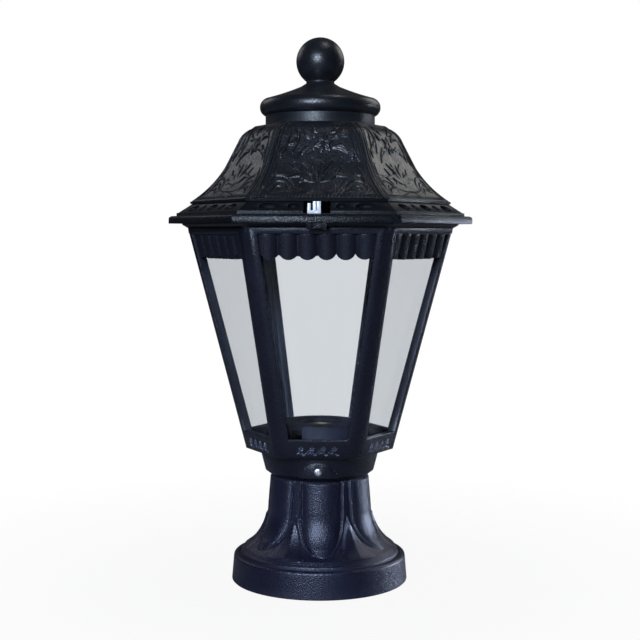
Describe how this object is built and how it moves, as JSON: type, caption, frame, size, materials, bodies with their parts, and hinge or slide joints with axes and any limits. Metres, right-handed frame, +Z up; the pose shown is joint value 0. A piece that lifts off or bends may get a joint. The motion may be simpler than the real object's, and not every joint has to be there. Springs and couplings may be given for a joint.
{
  "type": "pedestal lantern",
  "caption": "Hexagonal garden lantern in black resin on a round fluted pedestal, with clear panes, a carved hinged roof, a ball finial and a screw lampholder inside.",
  "frame": {"origin": "centre of the foot ring, on the ground", "axes": "+Z up, -Y towards the front pane with the latch and the clamp screw, corners of the hexagon on +X and -X"},
  "size_m": [0.235, 0.2036, 0.419],
  "materials": {
    "black_resin": "satin black with a fine moulded grain",
    "black_plastic": "matt black",
    "pale_plastic": "off-white",
    "clip_plastic": "pale grey, glossy",
    "clear_pane": "clear, slightly grey",
    "rubber": "matt black",
    "steel": "stainless",
    "brass": "bright",
    "live_cover": "brown cover",
    "neutral_cover": "blue cover"
  },
  "bodies": {
    "base": {"pedestal": "black_resin", "cable_grommet": "rubber", "terminal_block": "pale_plastic", "live_lead": "live_cover", "neutral_lead": "neutral_cover", "neck_seal": "rubber", "cup": "black_resin", "clamp_screw": "steel", "cage": "black_resin", "roof_gasket": "rubber", "valance": "black_resin", "pane_front": "clear_pane", "pane_front_right": "clear_pane", "pane_back_right": "clear_pane", "pane_back": "clear_pane", "pane_back_left": "clear_pane", "pane_front_left": "clear_pane", "turret": "black_resin", "lampholder": "black_plastic", "contact_shell": "brass", "centre_contact": "brass", "cage_screws": "steel", "holder_screws": "steel", "hinge_pin": "steel"},
    "lid": {"roof": "black_resin", "latch_clip": "clip_plastic", "roof_cap": "black_resin", "finial_ball": "black_resin", "finial_washer": "steel", "finial_screw": "steel"}
  },
  "joints": [
    {"name": "roof_hinge", "type": "hinge", "parent": "base", "child": "lid", "pos_m": [0, 0.09826, 0.2727], "axis": [-1, 0, 0], "range_deg": [0, 105]}
  ]
}
